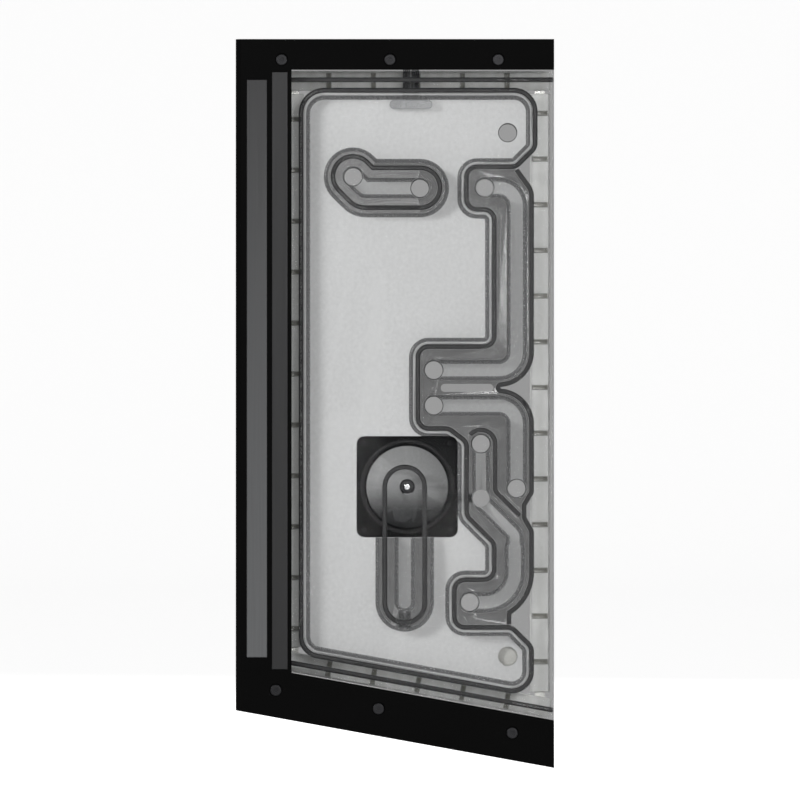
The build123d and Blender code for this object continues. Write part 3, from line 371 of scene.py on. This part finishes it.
def makeBoard():
    material, tree, place = startMaterial("whiteSolderMask")
    cells = addNode(tree, "ShaderNodeMapping", {"Scale": cellScale(boardLook["grainCells"])},
                    {"Vector": place})
    grain = addNode(tree, "ShaderNodeTexNoise", {"Scale": 1.0, "Detail": noiseDetail},
                    {"Vector": cells.outputs[0]}).outputs["Fac"]
    wide = addNode(tree, "ShaderNodeMapping", {"Scale": cellScale(boardLook["trackCells"])},
                   {"Vector": place})
    track = addNode(tree, "ShaderNodeTexWave", {"wave_profile": "SIN", "Scale": 1.0, "Distortion": 0.0},
                    {"Vector": wide.outputs[0]}).outputs["Fac"]
    tone = addNode(tree, "ShaderNodeMath", {"operation": "MULTIPLY"}, {0: grain, 1: track}).outputs[0]
    colour = addNode(tree, "ShaderNodeMix", {"data_type": "RGBA", 6: toLinear(boardLook["mask"]),
                                             7: toLinear(boardLook["track"])}, {0: tone}).outputs[2]
    low, high = boardLook["roughness"]
    roughness = addNode(tree, "ShaderNodeMapRange", {**noiseRange, "To Min": low, "To Max": high},
                        {"Value": grain}).outputs[0]
    shader = addNode(tree, "ShaderNodeBsdfPrincipled", {}, {"Base Color": colour, "Roughness": roughness})
    endMaterial(tree, shader)
    return material


materials = {name: makeAcrylic(name) for name in acrylicLooks}
materials.update({name: makeSolid(name) for name in solidLooks})
materials.update({name: makeBrushed(name) for name in stripLooks})
materials["whiteSolderMask"] = makeBoard()
print("materials made:", len(materials))


def dress(piece, *names):
    # the piece's only materials, in this order of slots
    piece.data.materials.clear()
    for name in names:
        piece.data.materials.append(materials[name])


# Tools for pieces that start from a CAD node

# The widest angle shaded smooth, in degrees, and the distance in millimetres within which points are one
smoothAngle = 35
joinWithin = 0.002


def deselectAll():
    for item in bpy.context.selected_objects:
        item.select_set(False)


def activate(piece):
    deselectAll()
    piece.select_set(True)
    bpy.context.view_layer.objects.active = piece


def selectNothing(piece):
    # ready for faces to be selected by number
    activate(piece)
    bpy.ops.object.mode_set(mode="EDIT")
    bpy.ops.mesh.select_mode(type="FACE")
    bpy.ops.mesh.select_all(action="DESELECT")
    bpy.ops.object.mode_set(mode="OBJECT")


def twinOf(piece):
    # a copy with its own mesh
    twin = piece.copy()
    twin.data = piece.data.copy()
    bpy.context.scene.collection.objects.link(twin)
    return twin


def joinPieces(pieces, name):
    # one piece of several, each left where it stands
    activate(pieces[0])
    for piece in pieces[1:]:
        piece.select_set(True)
    bpy.ops.object.transform_apply(location=True, rotation=True, scale=True)
    bpy.ops.object.join()
    pieces[0].name = name
    return pieces[0]


def copyNode(nodeName, pieceName):
    # a joined-up copy of a CAD node's mesh, at the origin as the node is
    source = nodes[nodeName]
    piece = bpy.data.objects.new(pieceName, source.data.copy())
    bpy.context.scene.collection.objects.link(piece)
    activate(piece)
    bpy.ops.object.mode_set(mode="EDIT")
    bpy.ops.mesh.select_all(action="SELECT")
    bpy.ops.mesh.remove_doubles(threshold=joinWithin * mm)
    bpy.ops.object.mode_set(mode="OBJECT")
    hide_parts(nodeName)
    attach(piece, source["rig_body"])
    return piece


def joinFlats(piece, angle=1.0):
    # triangles in one plane become one face, so that a bevel sees only real edges
    activate(piece)
    bpy.ops.object.mode_set(mode="EDIT")
    bpy.ops.mesh.select_all(action="SELECT")
    bpy.ops.mesh.dissolve_limited(angle_limit=math.radians(angle))
    bpy.ops.object.mode_set(mode="OBJECT")


def roundEdges(piece, width, segments=3, angle=40.0):
    # every edge sharper than the angle is rounded to this width in millimetres
    activate(piece)
    modifier = piece.modifiers.new("softEdge", "BEVEL")
    modifier.width = width * mm
    modifier.segments = segments
    modifier.limit_method = "ANGLE"
    modifier.angle_limit = math.radians(angle)
    modifier.use_clamp_overlap = True
    bpy.ops.object.modifier_apply(modifier=modifier.name)
    bpy.ops.object.shade_smooth_by_angle(angle=math.radians(smoothAngle))


# Clear body

# A point of each milled region, as X and Z, with the finish of that region
bodyRegions = {
    "castAcrylicMilledFloor": [(-30, -200)],
    "castAcrylicChannelFloor": [(5, -77.8), (9, -300), (77.5, -140), (50, -210.8), (55.6, -245),
                                (76.3, -300), (-22.6, -70.8)],
    "castAcrylicSealLand": [(67.6, -140), (-4, -320), (5, -87.5), (5, -92), (-6, -320), (0, -320),
                            (19, -320)],
}
bodySlots = ["castAcrylicPolished", "castAcrylicMilledWall", "castAcrylicCutterFoot", "castAcrylicBack",
             "castAcrylicSawnEdge", "castAcrylicVoluteRoof", *bodyRegions]
# Where the front face is parted beyond the ends of the outer seal: a point and a direction as X and Z,
# and the range of Z in which faces are cut
landCuts = [((77.2, -66.9), (9.2, -12.1), (-76.0, -40.0)), ((72.6, -340.0), (0.0, 1.0), (-365.0, -338.0))]
# Limits for telling faces apart: normals across and along Y, and distances in millimetres
faceLimits = {"across": 0.05, "along": 0.999, "edge": 0.1, "foot": 3.0, "roof": 1.0, "roofRadius": 25.2}


def finishByFace(piece, slotOf):
    # walls, rounded feet, back and volute roof, told apart by where each face is and looks
    lowCorner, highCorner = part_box("channel_body")
    pumpX, pumpZ = pumpMiddle
    edge = faceLimits["edge"] * mm
    for face in piece.data.polygons:
        x, y, z = face.center
        height = -y / mm
        outer = x > highCorner[0] - edge or x < lowCorner[0] + edge or z > highCorner[2] - edge
        if abs(face.normal.y) < faceLimits["across"]:
            face.material_index = slotOf["castAcrylicSawnEdge" if outer else "castAcrylicMilledWall"]
        elif abs(face.normal.y) < faceLimits["along"] and height < levels["floor"] + faceLimits["foot"]:
            face.material_index = slotOf["castAcrylicCutterFoot"]
        elif face.normal.y > faceLimits["along"]:
            reach = math.hypot(x / mm - pumpX, z / mm - pumpZ)
            roof = height > levels["back"] + faceLimits["roof"] and reach < faceLimits["roofRadius"]
            face.material_index = slotOf["castAcrylicVoluteRoof" if roof else "castAcrylicBack"]


def partLand(piece):
    # seams in the front face, so that the land between the channels ends where the seals end
    for (x, z), (alongX, alongZ), (low, high) in landCuts:
        selectNothing(piece)
        for face in piece.data.polygons:
            front = -face.center.y / mm > levels["front"] - faceLimits["edge"]
            flat = face.normal.y < -faceLimits["along"]
            face.select = front and flat and low < face.center.z / mm < high
        bpy.ops.object.mode_set(mode="EDIT")
        bpy.ops.mesh.bisect(plane_co=(x * mm, 0, z * mm), plane_no=(alongZ, 0, -alongX))
        bpy.ops.mesh.mark_seam(clear=False)
        bpy.ops.object.mode_set(mode="OBJECT")


def finishRegions(piece, slotOf):
    # each seed is looked up from the front, and the face it hits is spread over its region
    ahead = cadBounds[0][1] - faceLimits["edge"] * mm
    for name, seeds in bodyRegions.items():
        for x, z in seeds:
            index = piece.ray_cast(Vector((x * mm, ahead, z * mm)), Vector((0, 1, 0)))[3]
            selectNothing(piece)
            piece.data.polygons[index].select = True
            bpy.ops.object.mode_set(mode="EDIT")
            if name == "castAcrylicSealLand":
                bpy.ops.mesh.select_linked(delimit={"SEAM", "MATERIAL"})
            else:
                bpy.ops.mesh.faces_select_linked_flat(sharpness=math.radians(1))
            piece.active_material_index = slotOf[name]
            bpy.ops.object.material_slot_assign()
            bpy.ops.object.mode_set(mode="OBJECT")


def weighNormals(piece):
    # flat faces keep their own normal, so that the rounded foot beside them doesn't shade them
    activate(piece)
    bpy.ops.object.shade_smooth_by_angle(angle=math.radians(smoothAngle))
    modifier = piece.modifiers.new("flatNormals", "WEIGHTED_NORMAL")
    modifier.mode = "FACE_AREA"
    modifier.weight = 100
    modifier.keep_sharp = True
    bpy.ops.object.modifier_apply(modifier=modifier.name)


body = copyNode("channel_body", "milledBody")
dress(body, *bodySlots)
bodySlotOf = {name: number for number, name in enumerate(bodySlots)}
finishByFace(body, bodySlotOf)
partLand(body)
finishRegions(body, bodySlotOf)
weighNormals(body)
print("clear body built")

# Threads in the ports: a helical ridge inside each bore, as a G1/4 tap leaves it

threadLook = {"ridge": 0.24, "radius": 5.64, "pitch": 1.337, "turns": 8, "sides": 6, "steps": 36,
              "start": -28.2, "joinWithin": 0.001, "smooth": 50}
leastPortRadius = 5.0
portMounts = [mount for mount in frame["record"]["mounts"]
              if mount["kind"] == "threaded_hole" and mount["dims"]["r_mm"] > leastPortRadius]


def buildThread():
    # one ridge round the Y axis, from a small polygon that the Screw modifier carries round
    bpy.ops.mesh.primitive_circle_add(vertices=threadLook["sides"], radius=threadLook["ridge"] * mm,
                                      location=(threadLook["radius"] * mm, 0, 0))
    thread = bpy.context.object
    bpy.ops.object.transform_apply(location=True, rotation=True, scale=True)
    modifier = thread.modifiers.new("helix", "SCREW")
    modifier.axis = "Y"
    modifier.screw_offset = threadLook["pitch"] * mm
    modifier.iterations = threadLook["turns"]
    modifier.steps = threadLook["steps"]
    modifier.render_steps = threadLook["steps"]
    bpy.ops.object.modifier_apply(modifier=modifier.name)
    bpy.ops.object.mode_set(mode="EDIT")
    bpy.ops.mesh.select_all(action="SELECT")
    bpy.ops.mesh.remove_doubles(threshold=threadLook["joinWithin"] * mm)
    bpy.ops.mesh.select_all(action="DESELECT")
    bpy.ops.mesh.select_mode(type="EDGE")
    bpy.ops.mesh.select_non_manifold()
    bpy.ops.mesh.edge_face_add()
    bpy.ops.mesh.select_all(action="SELECT")
    bpy.ops.mesh.normals_make_consistent(inside=False)
    bpy.ops.object.mode_set(mode="OBJECT")
    return thread


firstThread = buildThread()
threads = [firstThread] + [twinOf(firstThread) for mount in portMounts[1:]]
for thread, mount in zip(threads, portMounts):
    x, y, z = mount["pos_m"]
    thread.location = (x, threadLook["start"] * mm, z)
portThreads = joinPieces(threads, "portThreads")
bpy.ops.object.shade_smooth_by_angle(angle=math.radians(threadLook["smooth"]))
dress(portThreads, "castAcrylicMilledWall")
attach(portThreads, "plate")
print("port threads built:", len(portMounts))

# Cover

coverEdge = {"round": 0.25, "segments": 2, "flat": 0.98}
cover = copyNode("front_cover", "clearCover")
joinFlats(cover)
roundEdges(cover, coverEdge["round"], coverEdge["segments"])
dress(cover, "castAcrylicPolished", "castAcrylicSawnEdge")
for face in cover.data.polygons:
    face.material_index = 0 if abs(face.normal.y) > coverEdge["flat"] else 1
print("cover built")

# Seals: the CAD's squeezed cords with their real rounded section

sealLook = {"round": 0.95, "segments": 5, "angle": 50, "flat": 0.5}
sealNodes = ["reservoir_seal", "bridge_seal", "suction_seal", "outer_channel_seal", "divider_seal",
             "upper_edge_seal", "lower_edge_seal"]
for sealNode in sealNodes:
    seal = copyNode(sealNode, sealNode + "_cord")
    joinFlats(seal, sealLook["flat"])
    roundEdges(seal, sealLook["round"], sealLook["segments"], sealLook["angle"])
    dress(seal, "nitrileCord")
print("seals built:", len(sealNodes))

# Moulded and turned pieces: the CAD's shapes with their soft edges

# Planes within this angle are one face, and the edges of each node get this many steps
softFlat = 0.5
softSegments = 3
# Each node with the radius of its edges in millimetres, the least angle of an edge, its finish and slot
softEdges = {
    "fill_baffle": (0.5, 40, "castAcrylicSawnEdge", "clear_acrylic"),
    "pump_housing": (0.35, 40, "mouldedBlackNylon", "pump_plastic"),
    "pump_socket": (0.15, 40, "mouldedNaturalNylon", "socket_plastic"),
    "pump_screws": (0.2, 40, "blackenedSteel", "steel_screw"),
    "standoffs": (0.3, 50, "blackenedSteel", "steel_screw"),
    "fill_plug": (0.15, 40, "blackPlatedBrass", "black_plug"),
    "drain_plug": (0.15, 40, "turnedAcetal", "pale_plug"),
    "fill_plug_ring": (0.5, 40, "nitrileCord", "ring_rubber"),
    "drain_plug_ring": (0.5, 40, "greySilicone", "pale_ring"),
    "pump_seal": (0.8, 40, "nitrileCord", "ring_rubber"),
    "light_header": (0.08, 40, "mouldedNaturalNylon", "board_metal"),
    "rotor_magnet": (0.4, 40, "sinteredFerrite", "magnet"),
}
for nodeName, (radius, angle, finish, slot) in softEdges.items():
    soft = copyNode(nodeName, nodeName + "_soft")
    joinFlats(soft, softFlat)
    roundEdges(soft, radius, softSegments, angle)
    dress(soft, finish)
print("soft-edged pieces built:", len(softEdges))

# Impeller: pale vanes and disc round a darker hub

impellerLook = {"round": 0.22, "segments": 2, "angle": 50, "hub": 6.3}
impeller = copyNode("impeller", "vanedImpeller")
joinFlats(impeller, softFlat)
roundEdges(impeller, impellerLook["round"], impellerLook["segments"], impellerLook["angle"])
dress(impeller, "mouldedGreyPolyphenylene", "mouldedDarkPolyphenylene")
hubX, hubZ = pumpMiddle
for face in impeller.data.polygons:
    reach = math.hypot(face.center.x / mm - hubX, face.center.z / mm - hubZ)
    face.material_index = 1 if reach < impellerLook["hub"] else 0
print("impeller built")

# Lamps: a ceramic housing with a sunk silicone lens

lampShape = {"rim": 0.45, "sink": 0.12, "round": 0.12, "segments": 2, "flat": 0.99}
for side in ("top", "left", "right", "bottom"):
    lamps = copyNode(side + "_lamps", side + "LampPackages")
    joinFlats(lamps)
    roundEdges(lamps, lampShape["round"], lampShape["segments"])
    dress(lamps, "pressedCeramic", "phosphorSilicone")
    selectNothing(lamps)
    for face in lamps.data.polygons:
        face.select = face.normal.y < -lampShape["flat"]
    bpy.ops.object.mode_set(mode="EDIT")
    bpy.ops.mesh.inset(thickness=lampShape["rim"] * mm, depth=-lampShape["sink"] * mm)
    lamps.active_material_index = 1
    bpy.ops.object.material_slot_assign()
    bpy.ops.object.mode_set(mode="OBJECT")
print("lamps built")

# Contacts inside the pump's power socket

contactLook = {"spacing": 2.54, "count": 4, "width": 0.8, "length": 5.2, "topZ": -283.5, "y": 5.0,
               "tip": 0.22, "tipSegments": 2}


def buildContact():
    # a square pin with a chamfered foot, the first of the row
    width = contactLook["width"] * mm
    firstX = hubX - (contactLook["count"] - 1) / 2 * contactLook["spacing"]
    middleZ = contactLook["topZ"] - contactLook["length"] / 2
    bpy.ops.mesh.primitive_cube_add(size=1, location=(firstX * mm, contactLook["y"] * mm, middleZ * mm))
    contact = bpy.context.object
    contact.scale = (width, width, contactLook["length"] * mm)
    bpy.ops.object.transform_apply(location=True, rotation=True, scale=True)
    selectNothing(contact)
    for face in contact.data.polygons:
        face.select = face.normal.z < -faceLimits["along"]
    bpy.ops.object.mode_set(mode="EDIT")
    bpy.ops.mesh.bevel(offset=contactLook["tip"] * mm, segments=contactLook["tipSegments"])
    bpy.ops.object.mode_set(mode="OBJECT")
    return contact


firstContact = buildContact()
contacts = [firstContact] + [twinOf(firstContact) for number in range(1, contactLook["count"])]
for number, contact in enumerate(contacts):
    contact.location.x = number * contactLook["spacing"] * mm
socketContacts = joinPieces(contacts, "socketContacts")
dress(socketContacts, "tinnedCopper")
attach(socketContacts, "plate")
print("socket contacts built:", len(contacts))

# Finishes of the CAD nodes that keep their shape

nodeFinishes = {
    "front_frame": "blackAnodisedAluminium", "outer_strip": "brushedGreyAluminium",
    "inner_strip": "brushedDarkAluminium",
    "top_light_board": "whiteSolderMask", "left_light_board": "whiteSolderMask",
    "right_light_board": "whiteSolderMask", "bottom_light_board": "whiteSolderMask",
    "board_links": "tinnedCopper", "impeller_pin": "groundSteel", "pin_cap": "groundSteel",
    "frame_screws": "blackenedSteel",
}
for nodeName, finish in nodeFinishes.items():
    dress(nodes[nodeName], finish)
print("CAD nodes dressed:", len(nodeFinishes))

# Stage, lamps and camera

stageLook = {"floorZ": -478.0, "width": 30000.0, "front": -9000.0, "backdropY": 9000.0,
             "height": 9000.0, "bend": 900.0, "bendSegments": 16, "tolerance": 10.0,
             "diffuse": "#e2e2e2", "glow": 0.80, "behind": 0.34}


def throughPlate(tree, rays):
    # 1 for a camera ray that has come through the clear plate
    deep = addNode(tree, "ShaderNodeMath", {"operation": "GREATER_THAN", 1: 0.5},
                   {0: rays["Transparent Depth"]}).outputs[0]
    return addNode(tree, "ShaderNodeMath", {"operation": "MULTIPLY"},
                   {0: deep, 1: rays["Is Camera Ray"]}).outputs[0]


def makePaper():
    # white paper that reads as white to the camera and in what the plate mirrors or lets through
    material, tree = startMaterial("palePaper")[:2]
    rays = addNode(tree, "ShaderNodeLightPath").outputs
    seen = addNode(tree, "ShaderNodeMath", {"operation": "MAXIMUM"},
                   {0: rays["Is Camera Ray"], 1: rays["Is Glossy Ray"]}).outputs[0]
    seen = addNode(tree, "ShaderNodeMath", {"operation": "MAXIMUM"},
                   {0: seen, 1: rays["Is Transmission Ray"]}).outputs[0]
    glow = addNode(tree, "ShaderNodeMath", {"operation": "MULTIPLY", 1: stageLook["glow"]},
                   {0: seen}).outputs[0]
    paint = addNode(tree, "ShaderNodeBsdfDiffuse", {"Color": toLinear(stageLook["diffuse"])}).outputs[0]
    light = addNode(tree, "ShaderNodeEmission", {}, {"Strength": glow}).outputs[0]
    paper = addNode(tree, "ShaderNodeAddShader", {}, {0: paint, 1: light}).outputs[0]
    # painted shade: what the camera sees through the clear plate is dimmed
    dim = addNode(tree, "ShaderNodeEmission", {"Strength": stageLook["behind"]}).outputs[0]
    shader = addNode(tree, "ShaderNodeMixShader", {}, {0: throughPlate(tree, rays), 1: paper, 2: dim})
    endMaterial(tree, shader)
    return material


def buildStage():
    wide, front, back = (stageLook[key] * mm for key in ("width", "front", "backdropY"))
    low, near = stageLook["floorZ"] * mm, stageLook["tolerance"] * mm
    bpy.ops.mesh.primitive_plane_add(size=1, location=(0, (front + back) / 2, low))
    floor = bpy.context.object
    floor.name = "paleFloor"
    floor.scale = (wide, back - front, 1)
    bpy.ops.object.transform_apply(location=True, rotation=True, scale=True)
    for edge in floor.data.edges:
        edge.select = all(floor.data.vertices[v].co.y > back - near for v in edge.vertices)
    for face in floor.data.polygons:
        face.select = False
    bpy.ops.object.mode_set(mode="EDIT")
    bpy.ops.mesh.select_mode(type="EDGE")
    bpy.ops.mesh.extrude_edges_move(TRANSFORM_OT_translate={"value": (0, 0, stageLook["height"] * mm)})
    bpy.ops.object.mode_set(mode="OBJECT")
    for edge in floor.data.edges:
        ends = [floor.data.vertices[v].co for v in edge.vertices]
        edge.select = all(end.y > back - near and end.z < low + near for end in ends)
    bpy.ops.object.mode_set(mode="EDIT")
    bpy.ops.mesh.bevel(offset=stageLook["bend"] * mm, segments=stageLook["bendSegments"])
    bpy.ops.object.mode_set(mode="OBJECT")
    bpy.ops.object.shade_smooth()
    floor.data.materials.append(makePaper())


buildStage()

lampLooks = {
    "keyLamp": {"at": (-900, -1120, 250), "size": 280, "power": 10.6},
    "fillLamp": {"at": (500, -3200, 300), "size": 900, "power": 34},
    "rearLamp": {"at": (900, 2800, 900), "size": 900, "power": 40},
}
aim = Vector((3, -30, -210)) * mm
for name, look in lampLooks.items():
    spot = Vector(look["at"]) * mm
    bpy.ops.object.light_add(type="AREA", location=spot)
    lamp = bpy.context.object
    lamp.name = name
    lamp.data.size = look["size"] * mm
    lamp.data.energy = look["power"]
    lamp.rotation_euler = (aim - spot).to_track_quat("-Z", "Y").to_euler()

worldLook = {"light": 0.28, "seen": 1.0}


def buildWorld():
    world = bpy.data.worlds.new("softStudio")
    bpy.context.scene.world = world
    world.use_nodes = True
    tree = world.node_tree
    tree.nodes.clear()
    rays = addNode(tree, "ShaderNodeLightPath").outputs
    # painted shade: the sky seen through the clear plate is dimmed to the same level
    level = addNode(tree, "ShaderNodeMix", {2: worldLook["seen"], 3: stageLook["behind"]},
                    {0: throughPlate(tree, rays)}).outputs[0]
    level = addNode(tree, "ShaderNodeMix", {2: worldLook["light"]},
                    {0: rays["Is Camera Ray"], 3: level}).outputs[0]
    sky = addNode(tree, "ShaderNodeBackground", {}, {"Strength": level})
    tree.links.new(sky.outputs[0], addNode(tree, "ShaderNodeOutputWorld").inputs["Surface"])


buildWorld()

cameraLook = {"centreX": 6.1, "centreZ": -207.4, "planeY": -45.0, "distance": 6000.0,
              "widthSeen": 488.0, "sensor": 36.0, "farthest": 30000.0}
bpy.ops.object.camera_add(
    location=(cameraLook["centreX"] * mm, (cameraLook["planeY"] - cameraLook["distance"]) * mm,
              cameraLook["centreZ"] * mm),
    rotation=(math.pi / 2, 0, 0))
camera = bpy.context.object
camera.name = "frontCamera"
camera.data.sensor_width = cameraLook["sensor"]
camera.data.lens = cameraLook["sensor"] * cameraLook["distance"] / cameraLook["widthSeen"]
camera.data.clip_end = cameraLook["farthest"] * mm
camera.data.dof.use_dof = False
bpy.context.scene.camera = camera
bpy.context.scene.view_settings.view_transform = "Standard"
deselectAll()
print("stage, lamps and camera placed")
